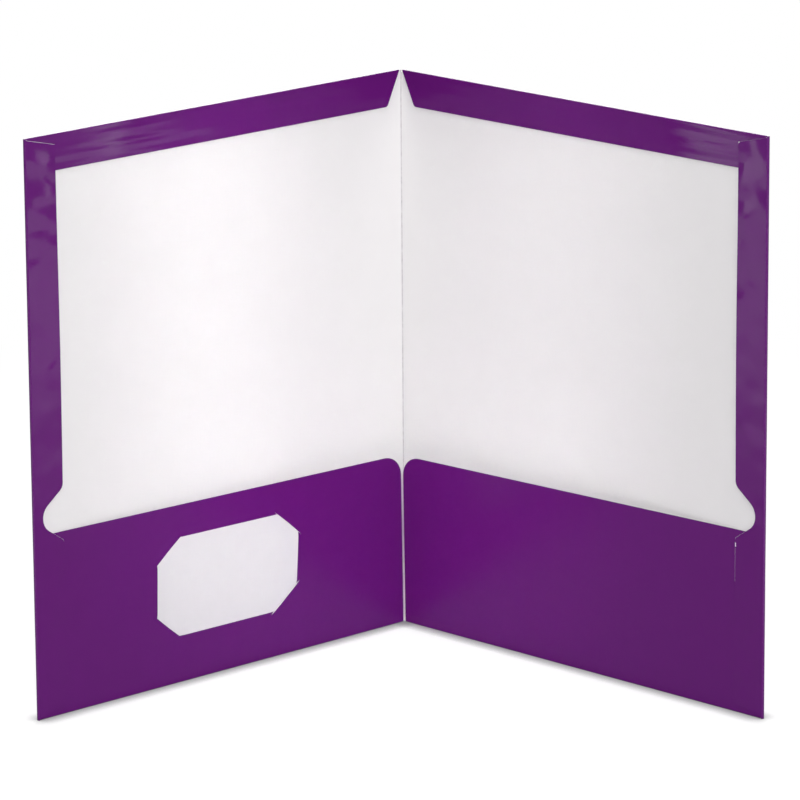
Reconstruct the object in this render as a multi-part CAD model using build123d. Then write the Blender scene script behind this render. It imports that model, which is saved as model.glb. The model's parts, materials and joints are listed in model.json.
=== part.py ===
"""Two pocket folder: a creased sheet of film-faced board, folded and glued, with a card in the left pocket.

Lengths are millimetres and angles are degrees. Each half is drawn lying open as the right half:
X runs out from the crease axis, Z runs up from the floor, and depth runs from the inner face of the
cover towards the reader. The left half is its mirror image. Both halves then swing to the resting
opening, and the whole part is centred over its footprint.
"""
import os
from math import radians, tan

from build123d import *

# The covers and the sheet they are cut from
COVER_WIDTH = 238.5
COVER_HEIGHT = 286.5
OPENING_ANGLE = 94.0
BOARD_THICKNESS = 0.33
FILM_THICKNESS = 0.05
SHEET = BOARD_THICKNESS + FILM_THICKNESS

# Folds, with the bend radius on the white side
FOLD_INNER_RADIUS = 0.10
FOLD_OUTER_RADIUS = FOLD_INNER_RADIUS + SHEET
CORNER_GAP = 0.80

# Pockets, folded up from the bottom edge
POCKET_SLOT = 0.60
POCKET_HEIGHT = 91.7
POCKET_INSET = 0.65
POCKET_TAPER = 5.8
POCKET_CORNER_RADIUS = 12.0

# Top flaps, folded down behind the side flaps
TOP_FLAP_WIDTH = 17.7
TOP_FLAP_INSET = 1.0
TOP_FLAP_SLANT = 8.0
TOP_FLAP_CORNER_RADIUS = 2.0

# Side flaps, folded in last over the pocket and the top flap
SIDE_FLAP_WIDTH = 17.9
SIDE_FLAP_SLANT = 4.6
SIDE_FLAP_END_GAP = 0.20

# Thumb notch in the side flap: its mouth and its middle from the top edge of the pocket, and the board
# left between it and the outer edge
NOTCH_RISE = 22.0
NOTCH_DROP = 4.3
NOTCH_MIDDLE_RISE = 8.35
NOTCH_EDGE_MARGIN = 5.5
NOTCH_RADIUS = 8.0
NOTCH_UPPER_RADIUS = 5.0
NOTCH_LOWER_RADIUS = 1.5

# Glue films
GLUE_THICKNESS = 0.10
GLUE_MARGIN = 2.0
TOP_GLUE_WIDTH = 8.0

# Card and the slits that hold its corners
CARD_WIDTH = 88.9
CARD_HEIGHT = 50.8
CARD_THICKNESS = 0.25
CARD_TOP_MARGIN = 16.7
CARD_TUCK_OUT = 13.8
CARD_TUCK_UP = 11.6
CARD_CLEARANCE = 0.05
SLIT_OVERRUN = 2.5

# Crease strip, bent round an axis level with the facing pockets so that the folder closes flat
CLOSING_CLEARANCE = 0.10
CREASE_MARGIN = 0.40

TOP_LEVEL = POCKET_SLOT + SHEET
SIDE_LEVEL = TOP_LEVEL + GLUE_THICKNESS
CREASE_RADIUS = TOP_LEVEL + CLOSING_CLEARANCE
SWING = (180.0 - OPENING_ANGLE) / 2

COVER_EDGE = COVER_WIDTH - FOLD_OUTER_RADIUS
COVER_TOP = COVER_HEIGHT - FOLD_OUTER_RADIUS
COVER_BOTTOM = FOLD_OUTER_RADIUS
UNDER_FLAP_EDGE = COVER_EDGE - CORNER_GAP
SIDE_FLAP_INNER = COVER_WIDTH - SIDE_FLAP_WIDTH
TOP_FLAP_LOWER = COVER_HEIGHT - TOP_FLAP_WIDTH
CARD_CENTRE_OUT = COVER_WIDTH / 2
CARD_CENTRE_UP = POCKET_HEIGHT - CARD_TOP_MARGIN - CARD_HEIGHT / 2


def rounded_outline(corners):
    """Closed outline through corners given as (out, up, radius), where radius 0 stays sharp."""
    outline = Polygon(*[(out, up) for out, up, radius in corners], align=None)
    for out, up, radius in corners:
        if radius > 0:
            corner = outline.vertices().sort_by_distance((out, up, 0))[0]
            outline = fillet(corner, radius)
    return outline


def rectangle(out_from, out_to, up_from, up_to):
    """Upright rectangle between two distances from the crease and two heights."""
    return Polygon((out_from, up_from), (out_to, up_from), (out_to, up_to), (out_from, up_to), align=None)


def slab(outline, depth, thickness):
    """Flat piece with this outline, its far face at a depth in front of the cover's inner face."""
    return extrude(Plane.XZ.offset(depth - CREASE_RADIUS) * outline, thickness, dir=(0, -1, 0))


def fold_section(gap):
    """U-shaped section of a fold, flat at its outer end, around a gap between two facing sheets."""
    outer = FOLD_OUTER_RADIUS
    inner = FOLD_INNER_RADIUS
    near, far = -SHEET, gap + SHEET
    edges = [
        RadiusArc((near, 0), (near + outer, outer), outer),
        Line((near + outer, outer), (far - outer, outer)),
        RadiusArc((far - outer, outer), (far, 0), outer),
        Line((far, 0), (gap, 0)),
        RadiusArc((gap, 0), (gap - inner, inner), -inner),
        Line((gap - inner, inner), (inner, inner)),
        RadiusArc((inner, inner), (0, 0), -inner),
        Line((0, 0), (near, 0)),
    ]
    return make_face(edges)


def fold(out, up, along, gap, length):
    """Straight fold that starts at a point on the cover's inner face and runs in one direction."""
    start = Plane(origin=(out, CREASE_RADIUS, up), x_dir=(0, -1, 0), z_dir=along)
    return extrude(start * fold_section(gap), length)


def top_flap_outline():
    """Strip along the top edge with a slanted, rounded end at the crease."""
    return rounded_outline([
        (TOP_FLAP_INSET, COVER_TOP, 0),
        (UNDER_FLAP_EDGE, COVER_TOP, 0),
        (UNDER_FLAP_EDGE, TOP_FLAP_LOWER, 0),
        (TOP_FLAP_INSET + TOP_FLAP_SLANT, TOP_FLAP_LOWER, TOP_FLAP_CORNER_RADIUS),
    ])


def side_flap_outline():
    """Strip along the outer edge with slanted ends and a round thumb notch above the pocket."""
    strip = Polygon(
        (COVER_EDGE, COVER_BOTTOM + SIDE_FLAP_END_GAP),
        (COVER_EDGE, COVER_TOP - SIDE_FLAP_END_GAP),
        (SIDE_FLAP_INNER, COVER_TOP - SIDE_FLAP_SLANT),
        (SIDE_FLAP_INNER, COVER_BOTTOM + SIDE_FLAP_SLANT),
        align=None,
    )
    upper, lower = POCKET_HEIGHT + NOTCH_RISE, POCKET_HEIGHT - NOTCH_DROP
    middle = (COVER_WIDTH - NOTCH_EDGE_MARGIN - NOTCH_RADIUS, POCKET_HEIGHT + NOTCH_MIDDLE_RISE)
    mouth = Line((SIDE_FLAP_INNER, upper), (SIDE_FLAP_INNER, lower))
    outline = strip - make_hull([CenterArc(middle, NOTCH_RADIUS, 0, 360), mouth])
    for up, radius in [(upper, NOTCH_UPPER_RADIUS), (lower, NOTCH_LOWER_RADIUS)]:
        corner = outline.vertices().sort_by_distance((SIDE_FLAP_INNER, up, 0))[0]
        outline = fillet(corner, radius)
    return outline


def pocket_outline():
    """Panel that tapers away from the crease, with its upper inner corner rounded."""
    taper_run = (POCKET_HEIGHT - COVER_BOTTOM) * tan(radians(POCKET_TAPER))
    return rounded_outline([
        (POCKET_INSET, COVER_BOTTOM, 0),
        (UNDER_FLAP_EDGE, COVER_BOTTOM, 0),
        (UNDER_FLAP_EDGE, POCKET_HEIGHT, 0),
        (POCKET_INSET + taper_run, POCKET_HEIGHT, POCKET_CORNER_RADIUS),
    ])


def faced_panel(outline, depth, film_towards_reader):
    """Board with its film on one face, as two touching solids."""
    if film_towards_reader:
        board = slab(outline, depth, BOARD_THICKNESS)
        film = slab(outline, depth + BOARD_THICKNESS, FILM_THICKNESS)
    else:
        film = slab(outline, depth, FILM_THICKNESS)
        board = slab(outline, depth + FILM_THICKNESS, BOARD_THICKNESS)
    return board, film


def slit_line(side_out, side_up, overrun):
    """Ends of the slit across one corner of the card, lengthened at both ends by the overrun."""
    corner = Vector(CARD_CENTRE_OUT + side_out * CARD_WIDTH / 2, CARD_CENTRE_UP + side_up * CARD_HEIGHT / 2)
    along_edge = corner - Vector(side_out * CARD_TUCK_OUT, 0)
    down_edge = corner - Vector(0, side_up * CARD_TUCK_UP)
    reach = (along_edge - down_edge).normalized() * overrun
    return along_edge + reach, down_edge - reach


def strip_along(start, end, width):
    """Narrow rectangle centred on a line."""
    across = (end - start).normalized().rotate(Axis.Z, 90) * (width / 2)
    corners = [start + across, end + across, end - across, start - across]
    return Polygon(*[(corner.X, corner.Y) for corner in corners], align=None)


CARD_CORNERS = [(1, 1), (1, -1), (-1, -1), (-1, 1)]


def card():
    """Card whose middle lies in front of the pocket and whose corners pass through the slits behind it."""
    back_level = POCKET_SLOT - CARD_CLEARANCE - CARD_THICKNESS
    front_level = TOP_LEVEL + CARD_CLEARANCE
    half_width, half_height = CARD_WIDTH / 2, CARD_HEIGHT / 2
    whole = rectangle(
        CARD_CENTRE_OUT - half_width, CARD_CENTRE_OUT + half_width,
        CARD_CENTRE_UP - half_height, CARD_CENTRE_UP + half_height,
    )
    corners = []
    passages = []
    for side_out, side_up in CARD_CORNERS:
        start, end = slit_line(side_out, side_up, 0)
        tip = (CARD_CENTRE_OUT + side_out * half_width, CARD_CENTRE_UP + side_up * half_height)
        corners.append(Polygon((start.X, start.Y), (end.X, end.Y), tip, align=None))
        passages.append(strip_along(start, end, CARD_THICKNESS) & whole)
    middle = whole - corners
    piece = slab(middle, front_level, CARD_THICKNESS)
    for corner, passage in zip(corners, passages):
        piece += slab(corner, back_level, CARD_THICKNESS)
        piece += slab(passage, back_level, front_level + CARD_THICKNESS - back_level)
    return piece


def half_of_folder(has_card):
    """Named solids of one half, drawn as the right half lying open."""
    cover_outline = rectangle(CREASE_MARGIN, COVER_EDGE, COVER_BOTTOM, COVER_TOP)
    cover, cover_film = faced_panel(cover_outline, -SHEET, False)
    top_flap, top_flap_film = faced_panel(top_flap_outline(), POCKET_SLOT, True)
    side_flap, side_flap_film = faced_panel(side_flap_outline(), SIDE_LEVEL, True)
    pocket, pocket_film = faced_panel(pocket_outline(), POCKET_SLOT, True)

    up, out, back = (0, 0, 1), (1, 0, 0), (-1, 0, 0)
    top_fold = fold(UNDER_FLAP_EDGE, COVER_TOP, back, POCKET_SLOT, UNDER_FLAP_EDGE - TOP_FLAP_INSET)
    bottom_fold = fold(POCKET_INSET, COVER_BOTTOM, out, POCKET_SLOT, UNDER_FLAP_EDGE - POCKET_INSET)
    side_fold_foot = COVER_BOTTOM + SIDE_FLAP_END_GAP
    side_fold_length = COVER_TOP - COVER_BOTTOM - 2 * SIDE_FLAP_END_GAP
    side_fold = fold(COVER_EDGE, side_fold_foot, up, SIDE_LEVEL, side_fold_length)

    glue_inner = SIDE_FLAP_INNER + GLUE_MARGIN
    glue_outer = UNDER_FLAP_EDGE - GLUE_MARGIN
    top_glue_middle = (COVER_TOP + TOP_FLAP_LOWER) / 2
    top_glue_outline = rectangle(
        TOP_FLAP_INSET + TOP_FLAP_SLANT + GLUE_MARGIN, glue_outer,
        top_glue_middle - TOP_GLUE_WIDTH / 2, top_glue_middle + TOP_GLUE_WIDTH / 2,
    )
    corner_glue_outline = rectangle(
        glue_inner, glue_outer, TOP_FLAP_LOWER + GLUE_MARGIN, COVER_TOP - SIDE_FLAP_SLANT - GLUE_MARGIN,
    )
    pocket_glue_outline = rectangle(
        glue_inner, glue_outer, COVER_BOTTOM + SIDE_FLAP_SLANT + GLUE_MARGIN,
        POCKET_HEIGHT - NOTCH_DROP - GLUE_MARGIN,
    )

    pieces = {
        "cover": cover,
        "cover_laminate": cover_film,
        "top_fold": top_fold,
        "top_flap": top_flap,
        "top_flap_laminate": top_flap_film,
        "side_fold": side_fold,
        "side_flap": side_flap,
        "side_flap_laminate": side_flap_film,
        "bottom_fold": bottom_fold,
        "pocket": pocket,
        "pocket_laminate": pocket_film,
        "top_flap_glue": slab(top_glue_outline, 0, POCKET_SLOT),
        "corner_glue": slab(corner_glue_outline, TOP_LEVEL, GLUE_THICKNESS),
        "pocket_glue": slab(pocket_glue_outline, TOP_LEVEL, GLUE_THICKNESS),
    }
    if has_card:
        slit_width = CARD_THICKNESS + 2 * CARD_CLEARANCE
        for side_out, side_up in CARD_CORNERS:
            start, end = slit_line(side_out, side_up, SLIT_OVERRUN)
            slit = slab(strip_along(start, end, slit_width), POCKET_SLOT, SHEET)
            pieces["pocket"] -= slit
            pieces["pocket_laminate"] -= slit
        pieces["business_card"] = card()
    return pieces


def crease_strip(depth, thickness):
    """Layer of the crease, bent round the axis at the resting opening, with a flat margin at each cover."""
    inner = CREASE_RADIUS - depth - thickness
    outer = CREASE_RADIUS - depth
    start, sweep = 90.0 - SWING, 2 * SWING
    inner_arc = CenterArc((0, 0), inner, start, sweep)
    outer_arc = CenterArc((0, 0), outer, start, sweep)
    bend = make_face([
        inner_arc,
        outer_arc,
        Line(inner_arc @ 0, outer_arc @ 0),
        Line(inner_arc @ 1, outer_arc @ 1),
    ])
    strip = extrude(Plane.XY.offset(COVER_BOTTOM) * bend, COVER_TOP - COVER_BOTTOM)
    margin = slab(rectangle(0, CREASE_MARGIN, COVER_BOTTOM, COVER_TOP), depth, thickness)
    strip += Rot(0, 0, -SWING) * margin
    strip += Rot(0, 0, SWING) * mirror(margin, about=Plane.YZ)
    return strip


def folder():
    """Every named solid in its resting place, around the crease axis."""
    nodes = {
        "spine": crease_strip(-BOARD_THICKNESS, BOARD_THICKNESS),
        "spine_laminate": crease_strip(-SHEET, FILM_THICKNESS),
    }
    for name, piece in half_of_folder(has_card=False).items():
        nodes["right_" + name] = Rot(0, 0, -SWING) * piece
    for name, piece in half_of_folder(has_card=True).items():
        label = name if name == "business_card" else "left_" + name
        nodes[label] = Rot(0, 0, SWING) * mirror(piece, about=Plane.YZ)
    return nodes


nodes = folder()
solids = [solid for piece in nodes.values() for solid in piece.solids()]
box = Compound(solids).bounding_box()
depth_shift = -(box.min.Y + box.max.Y) / 2
os.makedirs("parts", exist_ok=True)
for name, piece in nodes.items():
    export_step(Pos(0, depth_shift, 0) * piece, f"parts/{name}.step")
print("box", box.size, "floor", box.min.Z, "crease axis at Y", depth_shift)
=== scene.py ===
"""Looks of the two pocket folder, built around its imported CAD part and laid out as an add-on run as a script.

A place on one half of the folder is (out, depth, up) in metres: out from the crease axis along the cover,
depth from the crease axis towards the reader, up from the floor. The left half mirrors the right one.
"""
import json
import math

import bmesh
import bpy
from mathutils import Matrix, Vector
from mathutils.geometry import delaunay_2d_cdt


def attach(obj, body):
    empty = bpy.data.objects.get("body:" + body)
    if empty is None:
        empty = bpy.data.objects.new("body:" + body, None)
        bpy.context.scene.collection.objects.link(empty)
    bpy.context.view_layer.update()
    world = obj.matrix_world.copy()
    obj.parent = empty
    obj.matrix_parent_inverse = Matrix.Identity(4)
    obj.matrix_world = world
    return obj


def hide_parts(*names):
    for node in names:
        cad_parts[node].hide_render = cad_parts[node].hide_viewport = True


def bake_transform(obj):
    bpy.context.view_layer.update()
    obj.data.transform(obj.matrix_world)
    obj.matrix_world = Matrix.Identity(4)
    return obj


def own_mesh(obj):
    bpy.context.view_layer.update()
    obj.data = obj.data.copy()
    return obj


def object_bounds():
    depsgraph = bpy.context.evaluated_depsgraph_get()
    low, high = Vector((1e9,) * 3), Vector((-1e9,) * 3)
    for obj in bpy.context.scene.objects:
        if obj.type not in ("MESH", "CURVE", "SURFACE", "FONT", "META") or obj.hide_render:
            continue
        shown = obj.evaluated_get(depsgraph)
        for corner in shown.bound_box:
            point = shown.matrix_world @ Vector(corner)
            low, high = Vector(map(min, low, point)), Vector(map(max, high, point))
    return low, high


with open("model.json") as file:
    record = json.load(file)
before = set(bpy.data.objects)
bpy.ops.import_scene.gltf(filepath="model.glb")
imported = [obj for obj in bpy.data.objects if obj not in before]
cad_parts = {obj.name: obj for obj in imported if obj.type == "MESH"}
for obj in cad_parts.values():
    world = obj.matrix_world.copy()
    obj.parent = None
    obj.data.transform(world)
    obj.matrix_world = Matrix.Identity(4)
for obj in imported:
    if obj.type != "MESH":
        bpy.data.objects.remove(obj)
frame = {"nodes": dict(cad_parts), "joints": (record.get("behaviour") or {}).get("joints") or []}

bl_info = {
    "name": "Two Pocket Folder",
    "version": (1, 0, 0),
    "blender": (4, 5, 0),
    "location": "View3D > Sidebar > Folder",
    "description": "Dresses a laminated two pocket folder with its card, and sets a white studio around it",
    "category": "Object",
}

CAD_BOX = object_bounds()
MIDDLE = (CAD_BOX[0] + CAD_BOX[1]) / 2
MM = 0.001
SIDES = {"left": -1, "right": 1}
HINGE = next(joint for joint in frame["joints"] if joint["name"] == "spine_hinge")
CREASE_Y = HINGE["pos_m"][1]
SWING = math.radians(HINGE["range_deg"][1]) / 2

# Depths nearer to each other than this are one level
SAME_LEVEL = 1e-6


def linear(code):
    """Linear RGBA of an sRGB hex colour."""
    channels = [int(code[i:i + 2], 16) / 255 for i in (1, 3, 5)]
    return tuple(c / 12.92 if c <= 0.04045 else ((c + 0.055) / 1.055) ** 2.4 for c in channels) + (1.0,)


# Places on a half of the folder

def place(side, out, depth, up):
    """Row frame point of a place on the left (-1) or right (1) half."""
    x = out * math.cos(SWING) - depth * math.sin(SWING)
    y = CREASE_Y - out * math.sin(SWING) - depth * math.cos(SWING)
    return Vector((side * x, y, up))


def reader_side(side):
    """Direction from a half's cover towards the reader."""
    return Vector((-side * math.sin(SWING), -math.cos(SWING), 0))


def place_on(side, spot):
    """Place on the left (-1) or right (1) half of a row frame point."""
    x, y = side * spot.x, spot.y - CREASE_Y
    out = x * math.cos(SWING) - y * math.sin(SWING)
    depth = -x * math.sin(SWING) - y * math.cos(SWING)
    return out, depth, spot.z


def places_of(node):
    """Place of every vertex of a CAD node on its own half."""
    side = -1 if node.startswith(("left", "business")) else 1
    return [place_on(side, vertex.co) for vertex in frame["nodes"][node].data.vertices]


def span(node):
    """Lowest and highest (out, depth, up) of a CAD node."""
    places = places_of(node)
    return [min(axis) for axis in zip(*places)], [max(axis) for axis in zip(*places)]


def edges_of(loop):
    """Pairs of neighbours round a closed loop of points."""
    return zip(loop, loop[1:] + loop[:1])


def outlines(node, front=True):
    """Loops of (out, up) round the front or rear face of a flat CAD node, the outer loop first."""
    places = places_of(node)
    level = (max if front else min)(depth for out, depth, up in places)
    follows = {}
    for polygon in frame["nodes"][node].data.polygons:
        corners = [places[i] for i in polygon.vertices]
        if all(abs(depth - level) < SAME_LEVEL for out, depth, up in corners):
            ring = [(round(out, 7), round(up, 7)) for out, depth, up in corners]
            for a, b in edges_of(ring):
                if a in follows.get(b, ()):
                    follows[b].remove(a)
                else:
                    follows.setdefault(a, []).append(b)
    loops = []
    while any(follows.values()):
        start = next(a for a, ends in follows.items() if ends)
        loop, here = [start], follows[start].pop()
        while here != start:
            loop.append(here)
            here = follows[here].pop()
        loops.append(loop)

    def width(loop):
        """How far a loop reaches along the cover."""
        outs = [out for out, up in loop]
        return max(outs) - min(outs)

    return sorted(loops, key=width, reverse=True)


COVER_LOW, COVER_HIGH = span("right_cover")
FILM_LOW = span("right_cover_laminate")[0]
POCKET_LOW, POCKET_HIGH = span("right_pocket_laminate")
SIDE_LOW, SIDE_HIGH = span("right_side_flap_laminate")
CARD_LOW, CARD_HIGH = span("business_card")
CARD_MIDDLE = Vector(((CARD_LOW[0] + CARD_HIGH[0]) / 2, (CARD_LOW[2] + CARD_HIGH[2]) / 2))


class FolderSizes(bpy.types.PropertyGroup):
    """Sizes of the sheet and of how it stands"""
    sheet_thickness: bpy.props.FloatProperty(
        name="Sheet thickness", description="Board with its film", subtype="DISTANCE", unit="LENGTH",
        default=COVER_HIGH[1] - FILM_LOW[1], precision=5)
    left_gape: bpy.props.FloatProperty(
        name="Left pocket gape", description="How far the left pocket's top edge stands off at the crease",
        subtype="DISTANCE", unit="LENGTH", default=9.4 * MM, precision=4)
    right_gape: bpy.props.FloatProperty(
        name="Right pocket gape", description="How far the right pocket's top edge stands off at the crease",
        subtype="DISTANCE", unit="LENGTH", default=11.3 * MM, precision=4)
    side_flap_bow: bpy.props.FloatProperty(
        name="Side flap bow", description="How far the free middle of a side flap springs off the cover",
        subtype="DISTANCE", unit="LENGTH", default=0.5 * MM, precision=5)
    pocket_grid: bpy.props.FloatProperty(
        name="Pocket grid", description="Spacing of the points that let a pocket bend",
        subtype="DISTANCE", unit="LENGTH", default=4.0 * MM, precision=4)
    slit_lift: bpy.props.FloatProperty(
        name="Slit lift", description="Rise of a slit's outer lip, which covers the card's corner",
        subtype="DISTANCE", unit="LENGTH", default=0.28 * MM, precision=5)
    slit_dip: bpy.props.FloatProperty(
        name="Slit dip", description="Fall of a slit's inner lip, which the card rides over",
        subtype="DISTANCE", unit="LENGTH", default=0.37 * MM, precision=5)
    slit_reach: bpy.props.FloatProperty(
        name="Slit reach", description="Distance over which a slit's lips flatten out",
        subtype="DISTANCE", unit="LENGTH", default=6.0 * MM, precision=4)
    slit_end: bpy.props.FloatProperty(
        name="Slit end", description="Length at each end over which a slit closes",
        subtype="DISTANCE", unit="LENGTH", default=2.5 * MM, precision=4)
    bare_edge: bpy.props.FloatProperty(
        name="Bare edge", description="Width of white board where the film has drawn back from a cut",
        subtype="DISTANCE", unit="LENGTH", default=0.10 * MM, precision=5)
    card_thickness: bpy.props.FloatProperty(
        name="Card thickness", description="Caliper of the card", subtype="DISTANCE", unit="LENGTH",
        default=0.25 * MM, precision=5)
    card_clearance: bpy.props.FloatProperty(
        name="Card clearance", description="Air between the card and the pocket", subtype="DISTANCE",
        unit="LENGTH", default=0.05 * MM, precision=5)
    score_depth: bpy.props.FloatProperty(
        name="Score depth", description="Depth of the scored line inside the crease", subtype="DISTANCE",
        unit="LENGTH", default=0.28 * MM, precision=5)
    score_angle: bpy.props.FloatProperty(
        name="Score angle", description="Half width of the scored line round the crease", subtype="ANGLE",
        unit="ROTATION", default=math.radians(16))


class FolderColours(bpy.types.PropertyGroup):
    """Colours of the finishes"""
    film: bpy.props.FloatVectorProperty(
        name="Film", description="Purple print under the gloss film", subtype="COLOR", size=4, min=0, max=1,
        default=linear("#5f176d"))
    film_shade: bpy.props.FloatVectorProperty(
        name="Film shade", description="Heavier patches of the purple print", subtype="COLOR", size=4,
        min=0, max=1, default=linear("#5c156a"))
    # Fold wear: pale hairlines, partly real whitening of stretched film and partly a painted highlight on the
    # fold
    fold_wear_and_sheen: bpy.props.FloatVectorProperty(
        name="Fold wear", description="Film stretched pale over a fold", subtype="COLOR", size=4,
        min=0, max=1, default=linear("#6b3579"))
    board: bpy.props.FloatVectorProperty(
        name="Board", description="White inside of the folder", subtype="COLOR", size=4, min=0, max=1,
        default=linear("#e8e6e7"))
    board_shade: bpy.props.FloatVectorProperty(
        name="Board shade", description="Cloudy formation of the white face", subtype="COLOR", size=4,
        min=0, max=1, default=linear("#e5e3e4"))
    # Score: a grey painted shade standing for the thin shadow line in the crease
    score: bpy.props.FloatVectorProperty(
        name="Score", description="Fibres crushed grey along the crease", subtype="COLOR", size=4,
        min=0, max=1, default=linear("#b4adb3"))
    core: bpy.props.FloatVectorProperty(
        name="Core", description="Pulp bared along cut edges", subtype="COLOR", size=4, min=0, max=1,
        default=linear("#f0ebee"))
    card: bpy.props.FloatVectorProperty(
        name="Card", description="Blank business card", subtype="COLOR", size=4, min=0, max=1,
        default=linear("#dddbde"))
    card_shade: bpy.props.FloatVectorProperty(
        name="Card shade", description="Cloudy formation of the card stock", subtype="COLOR", size=4,
        min=0, max=1, default=linear("#d9d7da"))
    glue: bpy.props.FloatVectorProperty(
        name="Glue", description="Set glue between the flaps", subtype="COLOR", size=4, min=0, max=1,
        default=linear("#e9dfc4"))
    floor: bpy.props.FloatVectorProperty(
        name="Floor", description="Studio paper under the folder", subtype="COLOR", size=4, min=0, max=1,
        default=linear("#f2f2f2"))
    floor_shade: bpy.props.FloatVectorProperty(
        name="Floor shade", description="Share of the lamps' light that shows on the floor", subtype="COLOR",
        size=4, min=0, max=1, default=linear("#949494"))


class FolderStage(bpy.types.PropertyGroup):
    """Camera and lamps"""
    camera_place: bpy.props.FloatVectorProperty(
        name="Camera", description="Where the camera stands", subtype="TRANSLATION", unit="LENGTH", size=3,
        default=(0.041237, -2.66081, 0.83667))
    camera_target: bpy.props.FloatVectorProperty(
        name="Target", description="Point that the camera looks at", subtype="TRANSLATION", unit="LENGTH",
        size=3, default=(-0.00154, 0.08211, 0.11629))
    camera_roll: bpy.props.FloatProperty(
        name="Roll", description="Tilt of the camera about its own line of sight", subtype="ANGLE",
        unit="ROTATION", default=math.radians(-0.411))
    camera_lens: bpy.props.FloatProperty(
        name="Lens", description="Focal length on a 36 mm sensor", subtype="DISTANCE_CAMERA", unit="CAMERA",
        default=252.82)
    key_power: bpy.props.FloatProperty(
        name="Key", description="Large soft lamp in front, to the right", unit="POWER", default=10.5)
    front_power: bpy.props.FloatProperty(
        name="Front", description="Tall soft lamp over the camera", unit="POWER", default=29.5)
    top_power: bpy.props.FloatProperty(
        name="Top", description="Soft lamp overhead", unit="POWER", default=14.5)
    left_strip_power: bpy.props.FloatProperty(
        name="Left strip", description="Gridded strip lamp on the middle of the left half", unit="POWER",
        default=0.026)
    right_strip_power: bpy.props.FloatProperty(
        name="Right strip", description="Gridded strip lamp on the middle of the right half", unit="POWER",
        default=0.018)
    crease_power: bpy.props.FloatProperty(
        name="Crease", description="Gridded lamp on the foot of the crease", unit="POWER", default=0.020)
    back_power: bpy.props.FloatProperty(
        name="Back", description="Soft lamp on the outside of the covers", unit="POWER", default=36.0)
    near_strip_power: bpy.props.FloatProperty(
        name="Near strips", description="Small lamps in the opening that only gloss film mirrors",
        unit="POWER", default=0.0042)
    gloss_strip_power: bpy.props.FloatProperty(
        name="Gloss strips", description="Upright strip lamps at both sides that only gloss film mirrors",
        unit="POWER", default=0.15)
    gloss_panel_power: bpy.props.FloatProperty(
        name="Gloss panels", description="Lying lamp panels at both sides that only gloss film mirrors",
        unit="POWER", default=0.85)
    sky: bpy.props.FloatProperty(
        name="Sky", description="Even light from all round", default=0.14)


# Materials

def add_node(tree, kind, inputs=(), **settings):
    """New node with its settings, whose inputs take a value or a link from another node's output."""
    node = tree.nodes.new(kind)
    for name, value in settings.items():
        setattr(node, name, value)
    for name, value in dict(inputs).items():
        if isinstance(value, bpy.types.NodeSocket):
            tree.links.new(value, node.inputs[name])
        else:
            node.inputs[name].default_value = value
    return node


def new_material(name):
    """Empty node material and its tree."""
    material = bpy.data.materials.get(name)
    if material:
        return material, None
    material = bpy.data.materials.new(name)
    material.use_nodes = True
    material.node_tree.nodes.clear()
    return material, material.node_tree


# Names of the film where it lies in different ways, the height of its waves in millimetres, how they are
# squeezed along x, y and z, and the least and most roughness
FILMS = {
    "panel": ("polypropylene_film_gloss_laminated", 0.06, (1, 1, 1.6), (0.17, 0.26)),
    "top": ("polypropylene_film_gloss_over_glue_line_level", 0.5, (1, 1, 9), (0.06, 0.12)),
    "side": ("polypropylene_film_gloss_over_glue_line_upright", 1.2, (3, 3, 3), (0.06, 0.12)),
    "fold": ("polypropylene_film_stretched_over_fold", 0.06, (1, 1, 1), (0.17, 0.26)),
}


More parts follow.
